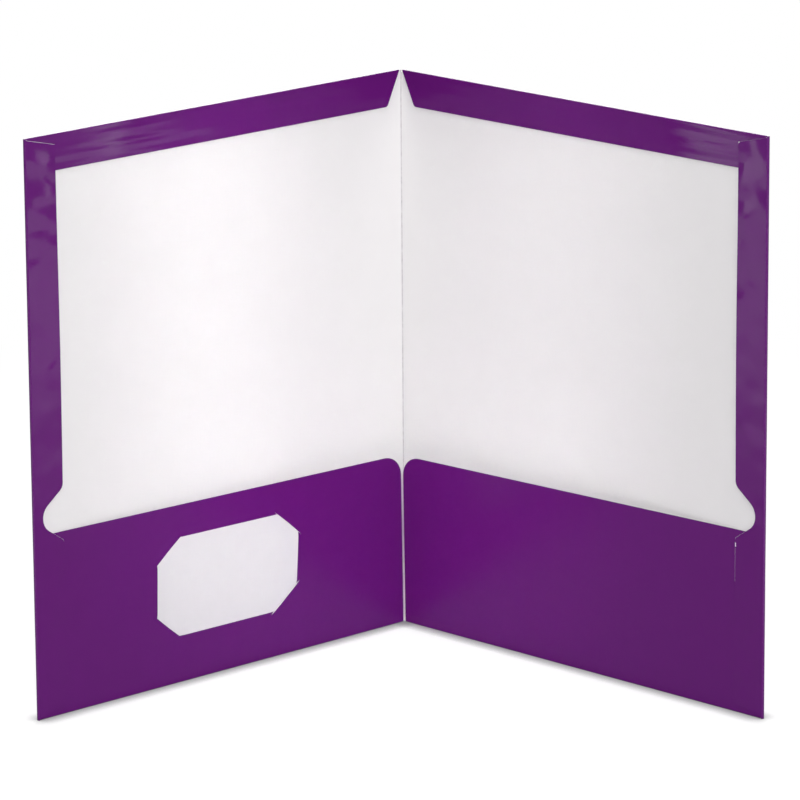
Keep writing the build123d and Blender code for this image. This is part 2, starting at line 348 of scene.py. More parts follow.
def film_material(colours, lies="panel"):
    """Clear gloss polypropylene film, hot laminated over purple offset print.

    A smooth skin: soft highlights that the slightly uneven board under it bends into streaks, fine orange
    peel, and a print that is a little heavier in soft patches. Where a flap is stuck down, the film is
    glossier and the waves run along its glue line. Over a fold it is stretched, and pale hairlines show,
    partly real whitening of the film and partly a painted highlight along the fold.
    Its mirror strength is matched to the object and lies well under that of bare film.
    """
    name, height, squeeze, (smoothest, dullest) = FILMS[lies]
    material, tree = new_material(name)
    if tree is None:
        return material
    where = add_node(tree, "ShaderNodeTexCoord").outputs["Object"]
    level = add_node(tree, "ShaderNodeMapping", {"Vector": where, "Scale": squeeze}).outputs[0]
    # Print mottle about 9 mm across
    mottle = add_node(tree, "ShaderNodeTexNoise", {"Vector": where, "Scale": 1 / (9 * MM), "Detail": 3.0})
    colour = add_node(
        tree, "ShaderNodeMix", {0: mottle.outputs["Fac"], 6: colours.film, 7: colours.film_shade},
        data_type="RGBA").outputs[2]
    if lies == "fold":
        # Pale hairlines across the film 1.2 mm apart; real ones are about 0.3 mm, drawn coarser so that they
        # show. They are partly real whitening and partly a painted highlight along the fold
        hair = add_node(tree, "ShaderNodeTexNoise", {"Vector": where, "Scale": 1 / (1.2 * MM), "Detail": 2.0})
        worn = add_node(tree, "ShaderNodeMapRange", {
            "Value": hair.outputs["Fac"], "From Min": 0.48, "From Max": 0.72, "To Min": 0.05, "To Max": 0.4})
        colour = add_node(
            tree, "ShaderNodeMix", {0: worn.outputs[0], 6: colour, 7: colours.fold_wear_and_sheen},
            data_type="RGBA").outputs[2]
    # Handling haze in patches about 30 mm long
    haze = add_node(tree, "ShaderNodeTexNoise", {"Vector": level, "Scale": 1 / (30 * MM), "Detail": 4.0})
    rough = add_node(tree, "ShaderNodeMapRange", {
        "Value": haze.outputs["Fac"], "From Min": 0.3, "From Max": 0.7,
        "To Min": smoothest, "To Max": dullest})
    # Waves of the board about 60 mm long, and orange peel 2 mm across, drawn coarser than real
    wave = add_node(tree, "ShaderNodeTexNoise", {"Vector": level, "Scale": 1 / (60 * MM), "Detail": 1.0})
    peel = add_node(tree, "ShaderNodeTexNoise", {"Vector": where, "Scale": 1 / (2 * MM), "Detail": 1.0})
    waves = add_node(tree, "ShaderNodeBump", {
        "Height": wave.outputs["Fac"], "Strength": 1.0, "Distance": height * MM})
    relief = add_node(tree, "ShaderNodeBump", {
        "Height": peel.outputs["Fac"], "Strength": 1.0, "Distance": 0.006 * MM, "Normal": waves.outputs[0]})
    shader = add_node(tree, "ShaderNodeBsdfPrincipled", {
        "Base Color": colour, "Roughness": rough.outputs[0], "Normal": relief.outputs[0],
        "IOR": 1.49, "Specular IOR Level": 0.08})
    add_node(tree, "ShaderNodeOutputMaterial", {"Surface": shader.outputs[0]})
    return material


def board_material(colours):
    """White folding boxboard, uncoated and calendered on the inside of the folder.

    A matt, nearly even white: a faint cloudy formation, the felt mark of its fibres, and a soft broad
    sheen instead of highlights.
    """
    material, tree = new_material("white_boxboard_uncoated_calendered")
    if tree is None:
        return material
    where = add_node(tree, "ShaderNodeTexCoord").outputs["Object"]
    # Cloudy formation about 14 mm across
    cloud = add_node(tree, "ShaderNodeTexNoise", {"Vector": where, "Scale": 1 / (14 * MM), "Detail": 5.0})
    colour = add_node(
        tree, "ShaderNodeMix", {0: cloud.outputs["Fac"], 6: colours.board, 7: colours.board_shade},
        data_type="RGBA").outputs[2]
    # Fibre marks 1.5 mm long; real ones are about 0.3 mm, drawn coarser so that they show
    fibre = add_node(tree, "ShaderNodeTexNoise", {
        "Vector": where, "Scale": 1 / (1.5 * MM), "Detail": 4.0, "Roughness": 0.65})
    rough = add_node(tree, "ShaderNodeMapRange", {
        "Value": fibre.outputs["Fac"], "To Min": 0.52, "To Max": 0.68})
    relief = add_node(tree, "ShaderNodeBump", {
        "Height": fibre.outputs["Fac"], "Strength": 1.0, "Distance": 0.02 * MM})
    shader = add_node(tree, "ShaderNodeBsdfPrincipled", {
        "Base Color": colour, "Roughness": rough.outputs[0], "Normal": relief.outputs[0],
        "IOR": 1.5, "Specular IOR Level": 0.3})
    add_node(tree, "ShaderNodeOutputMaterial", {"Surface": shader.outputs[0]})
    return material


def crease_shade_material(colours):
    """White boxboard with painted shade along the score.

    Its face takes a grey painted shade where the crease casts its thin shadow line, broken up along the line.
    """
    material, tree = new_material("white_boxboard_painted_crease_shade")
    if tree is None:
        return material
    where = add_node(tree, "ShaderNodeTexCoord").outputs["Object"]
    # Noise 2.5 mm across breaks the painted shade up along the line and gives it a faint bump
    shade_breaks = add_node(tree, "ShaderNodeTexNoise", {"Vector": where, "Scale": 1 / (2.5 * MM), "Detail": 3.0})
    colour = add_node(
        tree, "ShaderNodeMix", {0: shade_breaks.outputs["Fac"], 6: colours.score, 7: colours.board_shade},
        data_type="RGBA").outputs[2]
    relief = add_node(tree, "ShaderNodeBump", {
        "Height": shade_breaks.outputs["Fac"], "Strength": 1.0, "Distance": 0.05 * MM})
    shader = add_node(tree, "ShaderNodeBsdfPrincipled", {
        "Base Color": colour, "Normal": relief.outputs[0], "Roughness": 0.8, "IOR": 1.5,
        "Specular IOR Level": 0.1})
    add_node(tree, "ShaderNodeOutputMaterial", {"Surface": shader.outputs[0]})
    return material


def core_material(colours):
    """Pulp core of the board, bared by the cutting die.

    A thin dry white line along every cut edge, torn into fine layers.
    """
    material, tree = new_material("boxboard_pulp_core_die_cut")
    if tree is None:
        return material
    where = add_node(tree, "ShaderNodeTexCoord").outputs["Object"]
    # Torn layers 0.8 mm long; real ones are about 0.1 mm, drawn coarser so that they show
    torn = add_node(tree, "ShaderNodeTexNoise", {"Vector": where, "Scale": 1 / (0.8 * MM), "Detail": 3.0})
    colour = add_node(
        tree, "ShaderNodeMix", {0: torn.outputs["Fac"], 6: colours.core, 7: colours.board_shade},
        data_type="RGBA").outputs[2]
    relief = add_node(tree, "ShaderNodeBump", {
        "Height": torn.outputs["Fac"], "Strength": 1.0, "Distance": 0.03 * MM})
    shader = add_node(tree, "ShaderNodeBsdfPrincipled", {
        "Base Color": colour, "Normal": relief.outputs[0], "Roughness": 0.9, "IOR": 1.5,
        "Specular IOR Level": 0.1})
    add_node(tree, "ShaderNodeOutputMaterial", {"Surface": shader.outputs[0]})
    return material


def card_material(colours):
    """Uncoated white card stock, cut on a guillotine.

    Matt and a little cooler than the board, with a cloudy formation and a soft wove tooth.
    """
    material, tree = new_material("card_stock_uncoated_wove")
    if tree is None:
        return material
    where = add_node(tree, "ShaderNodeTexCoord").outputs["Object"]
    # Formation about 7 mm across
    cloud = add_node(tree, "ShaderNodeTexNoise", {"Vector": where, "Scale": 1 / (7 * MM), "Detail": 4.0})
    colour = add_node(
        tree, "ShaderNodeMix", {0: cloud.outputs["Fac"], 6: colours.card, 7: colours.card_shade},
        data_type="RGBA").outputs[2]
    # Tooth of the paper 1.2 mm across; the real one is about 0.4 mm, drawn coarser so that it shows
    tooth = add_node(tree, "ShaderNodeTexNoise", {"Vector": where, "Scale": 1 / (1.2 * MM), "Detail": 4.0})
    rough = add_node(tree, "ShaderNodeMapRange", {
        "Value": tooth.outputs["Fac"], "To Min": 0.7, "To Max": 0.85})
    relief = add_node(tree, "ShaderNodeBump", {
        "Height": tooth.outputs["Fac"], "Strength": 1.0, "Distance": 0.025 * MM})
    shader = add_node(tree, "ShaderNodeBsdfPrincipled", {
        "Base Color": colour, "Roughness": rough.outputs[0], "Normal": relief.outputs[0],
        "IOR": 1.5, "Specular IOR Level": 0.2})
    add_node(tree, "ShaderNodeOutputMaterial", {"Surface": shader.outputs[0]})
    return material


def glue_material(colours):
    """Hot melt adhesive, rolled on and pressed between the flaps.

    Creamy and half clear, with a waxy gloss and small flattened beads.
    """
    material, tree = new_material("hot_melt_adhesive_rolled")
    if tree is None:
        return material
    where = add_node(tree, "ShaderNodeTexCoord").outputs["Object"]
    # Roller beads 3 mm apart
    beads = add_node(tree, "ShaderNodeTexVoronoi", {"Vector": where, "Scale": 1 / (3 * MM)})
    colour = add_node(
        tree, "ShaderNodeMix", {0: beads.outputs["Distance"], 6: colours.glue, 7: colours.board},
        data_type="RGBA").outputs[2]
    relief = add_node(tree, "ShaderNodeBump", {
        "Height": beads.outputs["Distance"], "Strength": 0.6, "Distance": 0.05 * MM})
    shader = add_node(tree, "ShaderNodeBsdfPrincipled", {
        "Base Color": colour, "Normal": relief.outputs[0], "Roughness": 0.35, "IOR": 1.48})
    add_node(tree, "ShaderNodeOutputMaterial", {"Surface": shader.outputs[0]})
    return material


def looked_at(tree):
    """Output that is 1 where a ray from the camera, off a mirror or through glass arrives."""
    path = add_node(tree, "ShaderNodeLightPath").outputs
    seen = add_node(tree, "ShaderNodeMath", {
        0: path["Is Camera Ray"], 1: path["Is Glossy Ray"]}, operation="MAXIMUM")
    return add_node(tree, "ShaderNodeMath", {
        0: seen.outputs[0], 1: path["Is Transmission Ray"]}, operation="MAXIMUM").outputs[0]


def floor_material(colours):
    """Seamless studio paper, even and matt.

    The camera and mirrored rays see it bright, so that it stays white up to the folder's shadow: soft further
    out, from the lamps, and dark close under the folds, where a painted contact shadow dims the paper's glow.
    """
    material, tree = new_material("studio_paper_seamless")
    if tree is None:
        return material
    # From 0.25 to 0.7 m out the paper goes over to plain white
    where = add_node(tree, "ShaderNodeTexCoord").outputs["Object"]
    away = add_node(tree, "ShaderNodeVectorMath", {0: where}, operation="LENGTH").outputs["Value"]
    far = add_node(tree, "ShaderNodeMapRange", {
        "Value": away, "From Min": 0.25, "From Max": 0.7}, interpolation_type="SMOOTHSTEP").outputs[0]
    plain = add_node(tree, "ShaderNodeBsdfDiffuse", {"Color": colours.floor})
    white = add_node(tree, "ShaderNodeEmission", {"Color": (1, 1, 1, 1), "Strength": 1.0})
    # Painted contact shadow: ambient occlusion dims the glow, fading out over about 10 mm
    close = add_node(tree, "ShaderNodeAmbientOcclusion", {"Distance": 10 * MM}, samples=16).outputs["AO"]
    painted_shadow = add_node(tree, "ShaderNodeMath", {0: close, 1: 2.2}, operation="POWER").outputs[0]
    glow = add_node(tree, "ShaderNodeEmission", {"Color": painted_shadow, "Strength": 0.8})
    shade = add_node(tree, "ShaderNodeBsdfDiffuse", {"Color": colours.floor_shade})
    near = add_node(tree, "ShaderNodeAddShader", {0: glow.outputs[0], 1: shade.outputs[0]})
    bright = add_node(tree, "ShaderNodeMixShader", {0: far, 1: near.outputs[0], 2: white.outputs[0]})
    mixed = add_node(tree, "ShaderNodeMixShader", {
        0: looked_at(tree), 1: plain.outputs[0], 2: bright.outputs[0]})
    add_node(tree, "ShaderNodeOutputMaterial", {"Surface": mixed.outputs[0]})
    return material


def sheet_finish(colours, lies="panel"):
    """Film on the face, white board behind it and bare core round the edge."""
    return [film_material(colours, lies), board_material(colours), core_material(colours)]


# Sheets

# Slots of the finishes on a sheet, the last, a painted crease shade, only on the spine
FILM, BOARD, CORE, CREASE_SHADE = range(4)

# Spacing of the points along the edges of a sheet, over its face and along a fold
COVER_STEP = 12 * MM
TOP_EDGE_STEP, TOP_STEP = 8 * MM, 6 * MM
SIDE_EDGE_STEP, SIDE_STEP = 0.7 * MM, 4 * MM
CARD_EDGE_STEP, CARD_STEP = 2 * MM, 6 * MM
FOLD_STEP = 6 * MM

# Share of its spacing that a grid keeps from the edges
GRID_MARGIN = 0.4

# Corners closer than the first are one, and triangles lower than the second are slivers
SAME_POINT, SLIVER = 1e-8, 2e-7

# Faces round each quarter of a fold, and what an upright and a level fold leave free at a corner
FOLD_ARC = 8
UPRIGHT_FREE, LEVEL_FREE = 0.08 * MM, 0.3 * MM

# How far a fold is pressed out: an even share, the share of each of two waves, and the lengths of these
PRESS_EVEN, PRESS_WAVE, PRESS_LENGTHS = 0.94, 0.03, (7 * MM, 19 * MM)


def inside(out, up, loops):
    """Whether a point lies in the sheet, within the outer loop and outside its holes."""
    within = False
    for loop in loops:
        for (out_a, up_a), (out_b, up_b) in edges_of(loop):
            if (up_a > up) != (up_b > up) and out < (out_b - out_a) * (up - up_a) / (up_b - up_a) + out_a:
                within = not within
    return within


def gap_to(out, up, loops):
    """Distance from a point to the nearest edge of the sheet."""
    nearest = math.inf
    point = Vector((out, up))
    for loop in loops:
        for a, b in edges_of(loop):
            start, run = Vector(a), Vector(b) - Vector(a)
            share = max(0.0, min(1.0, (point - start).dot(run) / (run.length_squared or 1.0)))
            nearest = min(nearest, (point - start - run * share).length)
    return nearest


def split_edges(loop, longest):
    """Loop with its long edges divided, so that they can bend."""
    dense = []
    for a, b in edges_of(loop):
        count = max(1, math.ceil((Vector(b) - Vector(a)).length / longest))
        dense += [tuple(Vector(a).lerp(Vector(b), k / count)) for k in range(count)]
    return dense


def grid_points(loops, spacing):
    """Points on a square grid well inside the sheet."""
    outs, ups = zip(*loops[0])
    columns = round((max(outs) - min(outs)) / spacing)
    rows = round((max(ups) - min(ups)) / spacing)
    points = []
    for i in range(1, columns):
        for k in range(1, rows):
            out = min(outs) + (max(outs) - min(outs)) * i / columns
            up = min(ups) + (max(ups) - min(ups)) * k / rows
            if inside(out, up, loops) and gap_to(out, up, loops) > GRID_MARGIN * spacing:
                points.append((out, up))
    return points


def triangulated(loops, points=()):
    """Flat points and triangles that fill the loops and use every given point."""
    flat, edges = [], []
    for loop in loops:
        first = len(flat)
        flat += [Vector(point) for point in loop]
        edges += [(first + k, first + (k + 1) % len(loop)) for k in range(len(loop))]
    flat += [Vector(point) for point in points]
    flat, _, faces, *_ = delaunay_2d_cdt(flat, edges, [], 0, SAME_POINT)
    kept = []
    for face in faces:
        a, b, c = (flat[i] for i in face)
        middle, longest = (a + b + c) / 3, max((b - a).length, (c - b).length, (a - c).length)
        # A sliver outside a straight edge has no height
        if abs((b - a).cross(c - a)) / longest > SLIVER and inside(middle.x, middle.y, loops):
            kept.append(face)
    return flat, kept


def make_piece(name, points, faces, outward, materials, thickness):
    """Sheet whose face looks outward, with its thickness behind that face."""
    mesh = bpy.data.meshes.new(name)
    mesh.from_pydata(points, [], faces)
    mesh.update()
    if sum(face.area * face.normal.dot(outward) for face in mesh.polygons) < 0:
        mesh.flip_normals()
    shape = bmesh.new()
    shape.from_mesh(mesh)
    for face in shape.faces:
        face.smooth = True
    for edge in shape.edges:
        edge.smooth = not edge.is_boundary
    shape.to_mesh(mesh)
    shape.free()
    for material in materials:
        mesh.materials.append(material)
    piece = bpy.data.objects.new(name, mesh)
    bpy.context.scene.collection.objects.link(piece)
    solid = piece.modifiers.new("thickness", "SOLIDIFY")
    solid.thickness = thickness
    solid.offset = -1
    solid.material_offset = BOARD
    solid.material_offset_rim = CORE
    return piece


def make_panel(name, side, loops, depth_at, materials, thickness, points=(), to_reader=True):
    """Sheet cut to the loops, with its face at a depth that may vary over the panel."""
    flat, faces = triangulated(loops, points)
    spots = [place(side, p.x, depth_at(p.x, p.y), p.y) for p in flat]
    outward = reader_side(side) * (1 if to_reader else -1)
    return make_piece(name, spots, faces, outward, materials, thickness)


def make_fold(name, side, node, towards, materials, thickness):
    """Rounded fold along one edge of a cover, which bulges up, down or out from it."""
    low, high = span(node)
    across = 0 if towards == "out" else 2
    base, crest = (high[2], low[2]) if towards == "down" else (low[across], high[across])
    radius = abs(crest - base)
    section = []
    for k in range(FOLD_ARC + 1):
        turn = math.radians(90 * k / FOLD_ARC)
        section.append((low[1] + radius - radius * math.cos(turn), math.sin(turn)))
    section += [(low[1] + high[1] - depth, rise) for depth, rise in reversed(section)]
    # A fold runs on into the corner, where it meets the next one
    if towards == "out":
        first, last = UPRIGHT_FREE, CAD_BOX[1].z - UPRIGHT_FREE
    else:
        first, last = low[0], span("right_side_fold")[1][0] - LEVEL_FREE
    stations = max(2, round((last - first) / FOLD_STEP))
    points, faces = [], []
    for i in range(stations + 1):
        run = first + (last - first) * i / stations
        # The fold is pressed a little unevenly along its length
        waves = math.sin(run / PRESS_LENGTHS[0]) + math.sin(run / PRESS_LENGTHS[1] + side)
        press = PRESS_EVEN + PRESS_WAVE * waves
        for depth, rise in section:
            edge = base + (crest - base) * rise * press
            spot = (edge, depth, run) if towards == "out" else (run, depth, edge)
            points.append(place(side, *spot))
    count = len(section)
    for i in range(stations):
        for k in range(count - 1):
            a = i * count + k
            faces.append((a, a + 1, a + count + 1, a + count))
    if towards == "out":
        outward = place(side, 1, 0, 0) - place(side, 0, 0, 0)
    else:
        outward = Vector((0, 0, 1 if towards == "up" else -1))
    return make_piece(name, points, faces, outward, materials, thickness)


# Pocket, slits and card

# Steps along a slit's lips, and the powers by which a worn and a shut slit narrow to their ends
SLIT_STEPS, WORN_END, SHUT_END = 18, 0.5, 2.0

# Rows of points on both sides of a slit in the pocket, in millimetres, and points along each row, which runs
# a little past the slit's ends
SLIT_ROWS, SLIT_ROW_POINTS, SLIT_ROW_REACH = (0.6, 1.3, 2.2, 3.5, 5.5, 8.5), 15, 1.08

# How far before a slit the card starts to dip behind the pocket, and over what length
DIP_START, DIP_LENGTH = 2.2 * MM, 4.0 * MM

# Rows of points on the card beside a slit: their spacing, and the least gap to the card's edge, then the
# rows across the slit and the millimetres along each row
CARD_ROW_STEP, CARD_ROW_GAP = 0.4 * MM, 0.3 * MM
CARD_ROWS, CARD_RUNS = range(-6, 6), range(-12, 13)


def smooth(share):
    """Soft step from 0 to 1."""
    share = max(0.0, min(1.0, share))
    return share * share * (3 - 2 * share)


def gape(sizes, side, out, up):
    """How far the pocket stands off at a place: nothing along its fold and under the side flap."""
    most = sizes.left_gape if side < 0 else sizes.right_gape
    share_out = max(0.0, (SIDE_LOW[0] - out) / (SIDE_LOW[0] - POCKET_LOW[0]))
    share_up = (up - POCKET_LOW[2]) / (POCKET_HIGH[2] - POCKET_LOW[2])
    return most * share_out * share_up


def slits():
    """Middle, direction, outward direction, half length and half width of each slit in the left pocket."""
    found = []
    for hole in outlines("left_pocket_laminate")[1:]:
        corners = [Vector(corner) for corner in hole]
        middle = sum(corners, Vector((0, 0))) / len(corners)
        runs = sorted((b - a for a, b in edges_of(corners)), key=lambda run: run.length)
        along = runs[-1].normalized()
        across = Vector((-along.y, along.x))
        if across.dot(middle - CARD_MIDDLE) < 0:
            across.negate()
        found.append((middle, along, across, runs[-1].length / 2, runs[0].length / 2))
    if len(found) != 4:
        raise RuntimeError("the left pocket needs four slits for the card")
    return found


def slit_loop(slit):
    """Opening of a slit: shut at its ends, except the lower one by the crease, which is worn open."""
    middle, along, across, half, width = slit
    worn = middle.x < CARD_MIDDLE.x and middle.y < CARD_MIDDLE.y
    steps = [math.cos(math.pi * k / SLIT_STEPS) for k in range(SLIT_STEPS + 1)]
    gaps = [width * max(0.0, 1 - c * c) ** (WORN_END if worn else SHUT_END) for c in steps]
    upper = [middle + along * half * c + across * gap for c, gap in zip(steps, gaps)]
    lower = [middle + along * half * c - across * gap for c, gap in zip(steps, gaps)][-2:0:-1]
    return [tuple(point) for point in upper + lower]


def slit_lip(sizes, slit, out, up):
    """Rise of the pocket beside a slit: its outer lip lifts over the card, its inner lip dips under it."""
    middle, along, across, half, _ = slit
    gap = Vector((out, up)) - middle
    over, run = gap.dot(across), abs(gap.dot(along))
    ease = smooth((half - run) / sizes.slit_end) * math.exp(-abs(over) / sizes.slit_reach)
    return ease * (sizes.slit_lift if over > 0 else -sizes.slit_dip)


def slit_points(slit, overs, runs):
    """Points in rows beside a slit, at distances across and along it."""
    middle, along, across, *_ = slit
    return [tuple(middle + across * over + along * run) for over in overs for run in runs]


def card_face(sizes, holes, out, up):
    """Height of the card's face over the pocket: in front in the middle, behind the pocket at the corners."""
    over = max((Vector((out, up)) - middle).dot(across) for middle, _, across, *_ in holes)
    front = sizes.card_clearance + sizes.card_thickness
    behind = -sizes.sheet_thickness - sizes.card_clearance
    return front + (behind - front) * smooth((over + DIP_START) / DIP_LENGTH)


def flatten_when_closed(piece):
    """Gives the piece a mesh of its own."""
    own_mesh(piece)


# Operators

# Faces round the spine, rows of them up it, and how far under the pockets' top edges the score's painted shade
# reaches
SPINE_ARC, SPINE_ROWS, SHADE_ENDS_UNDER = 28, 36, 12 * MM

# Heights of the slanted cuts of a side flap: at its top and below its notch
TOP_CUT, NOTCH_CUT = 5 * MM, 5 * MM

# Drops under the pocket's top edge between which the right side flap's inner edge is bare, and of two nicks
BARE_FROM, BARE_TO = 8 * MM, 26 * MM
NICK_DROPS = (7.2 * MM, 8.2 * MM)

# Radius of a nick, points round it, and the least gap from a drawn point to a side flap's edge
NICK_RADIUS, NICK_POINTS, POINT_GAP = 0.6 * MM, 12, 0.04 * MM

# Points nearer than this to a side flap's inner edge or fold are on it
ON_EDGE = 0.01 * MM

# A face whose middle lies within this share of a bare cut's width is bare
BARE_SHARE = 0.95

# Spread of a bare lamp and of one with a grid on it, in degrees
OPEN, GRIDDED = 180, 5

# Nearer and farther edge and level of each lying gloss panel, the length that its power is for, and its slope
GLOSS_PANELS = ((0.19, 0.26, 0.2), (0.26, 0.34, 0.4), (0.34, 0.44, 0.7), (0.44, 0.74, 1.0))
PANEL_LENGTH, PANEL_SLOPE = 0.3, 0.086


class FOLDER_OT_covers(bpy.types.Operator):
    """Build both covers, with their film on the outside"""
    bl_idname = "folder.covers"
    bl_label = "Covers"

    def execute(self, context):
        sizes, colours = context.scene.folder_sizes, context.scene.folder_colours
        for half, side in SIDES.items():
            node = half + "_cover_laminate"
            level = span(node)[0][1]
            loops = [split_edges(outlines(node, front=False)[0], COVER_STEP)]
            piece = make_panel(
                half + "_cover_sheet", side, loops, lambda out, up: level, sheet_finish(colours),
                sizes.sheet_thickness, grid_points(loops, COVER_STEP), to_reader=False)
            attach(piece, half + "_half")
            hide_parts(half + "_cover", node)
        return {"FINISHED"}


class FOLDER_OT_spine(bpy.types.Operator):
    """Build the crease that joins the covers, scored along its inside, with a grey painted shade on the score
    """
    bl_idname = "folder.spine"
    bl_label = "Spine"

    def execute(self, context):
        sizes, colours = context.scene.folder_sizes, context.scene.folder_colours
        inner, outer = -COVER_HIGH[1], -FILM_LOW[1]
        section = [place(-1, COVER_LOW[0], -radius, 0) for radius in (inner, outer)]
        for k in range(SPINE_ARC + 1):
            turn = SWING * (2 * k / SPINE_ARC - 1)
            score = sizes.score_depth * math.exp(-(turn / sizes.score_angle) ** 2)
            for radius in (inner + score, outer):
                section.append(Vector((radius * math.sin(turn), CREASE_Y + radius * math.cos(turn), 0)))
        section += [place(1, COVER_LOW[0], -radius, 0) for radius in (inner, outer)]
        count = len(section)
        points, faces, finishes = [], [], []
        for i in range(SPINE_ROWS + 1):
            up = COVER_LOW[2] + (COVER_HIGH[2] - COVER_LOW[2]) * i / SPINE_ROWS
            points += [(spot.x, spot.y, up) for spot in section]
        for i in range(SPINE_ROWS):
            low, high = i * count, (i + 1) * count
            # Between the pockets the score gets no painted shade, so it stays white there
            crease_shaded = points[high][2] > POCKET_HIGH[2] - SHADE_ENDS_UNDER
            for k in range(0, count - 2, 2):
                faces.append((low + k, low + k + 2, high + k + 2, high + k))
                faces.append((low + k + 1, high + k + 1, high + k + 3, low + k + 3))
                middle = (section[k] + section[k + 2]) / 2
                # Faces on the score take the grey painted shade of the crease's shadow line
                shaded = abs(math.atan2(middle.x, middle.y - CREASE_Y)) < sizes.score_angle
                finishes += [CREASE_SHADE if shaded and crease_shaded else BOARD, FILM]
            faces.append((low, high, high + 1, low + 1))
            faces.append((low + count - 2, low + count - 1, high + count - 1, high + count - 2))
            finishes += [CORE, CORE]
        for end in (0, SPINE_ROWS * count):
            for k in range(0, count - 2, 2):
                faces.append((end + k, end + k + 1, end + k + 3, end + k + 2))
                finishes.append(CORE)
        mesh = bpy.data.meshes.new("spine_sheet")
        mesh.from_pydata(points, [], faces)
        shape = bmesh.new()
        shape.from_mesh(mesh)
        shape.faces.ensure_lookup_table()
        for face, finish in zip(shape.faces, finishes):
            face.material_index = finish
            face.smooth = True
        bmesh.ops.recalc_face_normals(shape, faces=shape.faces)
        # The score's painted shade runs smoothly on into the white board
        for edge in shape.edges:
            edge.smooth = len({face.material_index in (BOARD, CREASE_SHADE) for face in edge.link_faces}) == 1
        shape.to_mesh(mesh)
        shape.free()
        for material in sheet_finish(colours) + [crease_shade_material(colours)]:
            mesh.materials.append(material)
        piece = bpy.data.objects.new("spine_sheet", mesh)
        context.scene.collection.objects.link(piece)
        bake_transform(piece)
        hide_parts("spine", "spine_laminate")
        return {"FINISHED"}


class FOLDER_OT_top_flaps(bpy.types.Operator):
    """Build the top flaps and the folds over the top edges"""
    bl_idname = "folder.top_flaps"
    bl_label = "Top Flaps"

    def execute(self, context):
        sizes, colours = context.scene.folder_sizes, context.scene.folder_colours
        for half, side in SIDES.items():
            node = half + "_top_flap_laminate"
            level = span(node)[1][1]
            loops = [split_edges(outlines(node)[0], TOP_EDGE_STEP)]
            flap = make_panel(
                half + "_top_flap_sheet", side, loops, lambda out, up: level, sheet_finish(colours, "top"),
                sizes.sheet_thickness, grid_points(loops, TOP_STEP))
            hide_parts(half + "_top_flap", node)
            crease = make_fold(
                half + "_top_fold_sheet", side, half + "_top_fold", "up", sheet_finish(colours, "fold"),
                sizes.sheet_thickness)
            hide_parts(half + "_top_fold")
            for piece in (flap, crease):
                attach(piece, half + "_half")
        return {"FINISHED"}


def bared_cuts(loop, side, width):
    """Cuts of a side flap with bare board, as (start, end, width)."""
    cuts = []
    for a, b in edges_of(loop):
        out, up = (Vector(a) + Vector(b)) / 2
        drop = POCKET_HIGH[2] - up
        at_inner, at_fold = out <= SIDE_LOW[0] + ON_EDGE, out >= SIDE_HIGH[0] - ON_EDGE
        slanted = not at_inner and not at_fold
        if slanted and side < 0 and up > SIDE_HIGH[2] - TOP_CUT:
            cuts.append((a, b, width))
        # Below the notch the film lies closer to the cut
        below_notch = slanted and 0 < drop < NOTCH_CUT
        if below_notch or at_inner and side > 0 and BARE_FROM < drop < BARE_TO:
            cuts.append((a, b, width / 2))
    return cuts


def show_bare(piece, side, cuts, nicks):
    """Bares the board along cuts, and in small round nicks given as (out, up, radius)."""
    for face in piece.data.polygons:
        out, _, up = place_on(side, face.center)
        near_nick = any(math.hypot(out - x, up - z) < radius for x, z, radius in nicks)
        if near_nick or any(gap_to(out, up, [[a, b]]) < BARE_SHARE * width for a, b, width in cuts):
            face.material_index = CORE


class FOLDER_OT_side_flaps(bpy.types.Operator):
    """Build the side flaps with their thumb notches, and the folds over the outer edges"""
    bl_idname = "folder.side_flaps"
    bl_label = "Side Flaps"

    def execute(self, context):
        sizes, colours = context.scene.folder_sizes, context.scene.folder_colours
        free_low, free_high = POCKET_HIGH[2], span("right_top_flap")[0][2]
        for half, side in SIDES.items():
            node = half + "_side_flap_laminate"
            level = span(node)[1][1]
            loops = [split_edges(outlines(node)[0], SIDE_EDGE_STEP)]
            cuts = bared_cuts(loops[0], side, sizes.bare_edge)
            inner = [point for point in loops[0] if point[0] < SIDE_LOW[0] + ON_EDGE]
            tip = max(inner, key=lambda point: point[1])
            nicks = []
            if side > 0:
                ups = [tip[1]] + [POCKET_HIGH[2] - drop for drop in NICK_DROPS]
                nicks = [(tip[0], up, NICK_RADIUS) for up in ups]
            points = grid_points(loops, SIDE_STEP)
            for a, b, width in cuts:
                inward = Vector((a[1] - b[1], b[0] - a[0])).normalized() * width
                points += [tuple(Vector(end) + inward * turn) for end in (a, b) for turn in (1, -1)]
            for out, up, radius in nicks:
                ring = [math.radians(360 / NICK_POINTS * k) for k in range(NICK_POINTS)]
                points += [(out + radius * math.cos(t), up + radius * math.sin(t)) for t in ring]
            points = [
                point for point in points if inside(*point, loops) and gap_to(*point, loops) > POINT_GAP]

            def sprung(out, up):
                """Depth of the flap, which bows between its glued ends and away from its fold."""
                share = (up - free_low) / (free_high - free_low)
                bow = math.sin(math.pi * share) ** 2 if 0 < share < 1 else 0.0
                return level + sizes.side_flap_bow * bow * (SIDE_HIGH[0] - out) / (SIDE_HIGH[0] - SIDE_LOW[0])

            flap = make_panel(
                half + "_side_flap_sheet", side, loops, sprung, sheet_finish(colours, "side"),
                sizes.sheet_thickness, points)
            show_bare(flap, side, cuts, nicks)
            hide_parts(half + "_side_flap", node)
            crease = make_fold(
                half + "_side_fold_sheet", side, half + "_side_fold", "out", sheet_finish(colours, "fold"),
                sizes.sheet_thickness)
            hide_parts(half + "_side_fold")
            for piece in (flap, crease):
                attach(piece, half + "_half")
        return {"FINISHED"}


